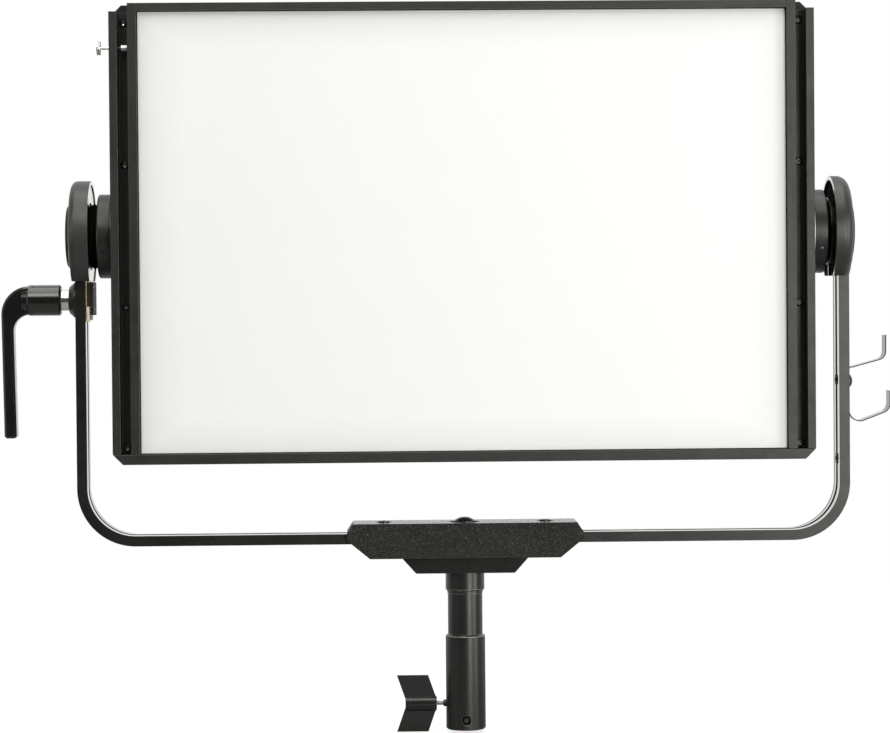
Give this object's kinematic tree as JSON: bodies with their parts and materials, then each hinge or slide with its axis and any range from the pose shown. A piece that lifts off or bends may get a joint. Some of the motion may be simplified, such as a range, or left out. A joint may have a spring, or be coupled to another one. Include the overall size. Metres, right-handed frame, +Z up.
{
  "type": "led panel light",
  "caption": "Soft LED panel light in a tilting yoke, with a diffuser in a channelled frame, a tilt lock lever, cable hooks and a spigot socket with a wing screw.",
  "frame": {"origin": "centre of the mouth of the stand socket at the bottom of the spigot", "axes": "+Z up along the spigot, the lit face looks along -Y, +X to the right of a person facing the lit face"},
  "size_m": [0.8769, 0.1381, 0.717],
  "materials": {
    "black_paint": "satin black powder coat",
    "rail_anodised": "black anodised extrusion, satin",
    "wrinkle_paint": "fine wrinkle black paint",
    "spigot_anodised": "black anodised, satin",
    "black_plastic": "moulded, fine texture",
    "black_steel": "black oxide",
    "bright_steel": "bright plated",
    "pad_brass": "turned brass",
    "raw_aluminium": "mill finish",
    "diffuser_white": "opal, matt",
    "board": "solder mask",
    "display_glass": "smoked window"
  },
  "bodies": {
    "yoke": {"yoke_bar": "black_paint", "yoke_end_left": "black_paint", "yoke_end_right": "black_paint", "friction_disc_left": "black_plastic", "friction_disc_right": "black_plastic", "pivot_cap_left": "black_paint", "pivot_cap_right": "black_paint", "lock_base": "black_paint", "clamp_pad": "pad_brass", "clamp_plate": "black_steel", "clamp_screw_upper": "bright_steel", "clamp_screw_lower": "bright_steel", "hook_bracket": "black_steel", "hook_screw": "black_steel", "base_block_upper": "wrinkle_paint", "base_block_lower": "wrinkle_paint", "lower_plate": "wrinkle_paint", "centre_bolt": "black_steel", "block_screw_left": "black_steel", "block_screw_right": "black_steel", "spigot": "spigot_anodised"},
    "head": {"housing": "black_paint", "rear_cover": "black_paint", "side_rail_left": "rail_anodised", "side_rail_right": "rail_anodised", "top_rail": "rail_anodised", "bottom_rail": "rail_anodised", "diffuser": "diffuser_white", "reflector_tray": "diffuser_white", "led_board": "board", "heat_sink": "raw_aluminium", "driver_board": "board", "fan_frame_left": "black_plastic", "fan_frame_right": "black_plastic", "control_panel": "spigot_anodised", "display_window": "display_glass", "power_inlet": "black_steel", "pivot_ring_left": "bright_steel", "pivot_ring_right": "bright_steel", "pivot_boss_left": "black_paint", "pivot_boss_right": "black_paint", "pivot_bolt_left": "black_steel", "pivot_bolt_right": "black_steel", "channel_screw_left_1": "black_steel", "channel_screw_left_2": "black_steel", "channel_screw_left_3": "black_steel", "channel_screw_left_4": "black_steel", "channel_screw_right_1": "black_steel", "channel_screw_right_2": "black_steel", "channel_screw_right_3": "black_steel", "channel_screw_right_4": "black_steel"},
    "tilt_lever": {"lever_shaft": "bright_steel", "lever_handle": "black_paint"},
    "wing_stud": {"wing_thread": "bright_steel"},
    "wing": {"wing_handle": "black_paint"},
    "fan_left": {"fan_rotor_left": "black_plastic"},
    "fan_right": {"fan_rotor_right": "black_plastic"},
    "latch": {"latch_plunger": "bright_steel"},
    "dimmer": {"dimmer_knob": "black_plastic"},
    "rocker": {"power_switch": "black_plastic"}
  },
  "joints": [
    {"name": "head_tilt", "type": "hinge", "parent": "yoke", "child": "head", "pos_m": [0, 0, 0.49], "axis": [1, 0, 0], "range_deg": [-90, 90]},
    {"name": "lever_turn", "type": "hinge", "parent": "yoke", "child": "tilt_lever", "pos_m": [-0.41, 0, 0.4276], "axis": [1, 0, 0], "range_deg": [-110, 0]},
    {"name": "wing_slide", "type": "slide", "parent": "yoke", "child": "wing_stud", "axis": [1, 0, 0], "range_m": [-0.0031, 0.0031]},
    {"name": "wing_turn", "type": "hinge", "parent": "wing_stud", "child": "wing", "pos_m": [-0.0445, 0, 0.0255], "axis": [1, 0, 0], "range_deg": [-720, 720]},
    {"name": "fan_spin_left", "type": "hinge", "parent": "head", "child": "fan_left", "pos_m": [-0.165, 0.043, 0.542], "axis": [0, 1, 0], "continuous": true},
    {"name": "fan_spin_right", "type": "hinge", "parent": "head", "child": "fan_right", "pos_m": [0.165, 0.043, 0.542], "axis": [0, 1, 0], "continuous": true},
    {"name": "latch_pull", "type": "slide", "parent": "head", "child": "latch", "axis": [-1, 0, 0], "range_m": [0, 0.0095], "stiffness_N_per_m": 400, "springref_m": -0.004},
    {"name": "dimmer_turn", "type": "hinge", "parent": "head", "child": "dimmer", "pos_m": [0.066, 0.07, 0.37], "axis": [0, 1, 0], "continuous": true},
    {"name": "switch_rock", "type": "hinge", "parent": "head", "child": "rocker", "pos_m": [-0.07, 0.0663, 0.37], "axis": [0, 0, 1], "range_deg": [-14, 0]}
  ],
  "couplings": [
    {"joint": "wing_slide", "follows": "wing_turn", "m_per_rad": 0.00023873}
  ]
}
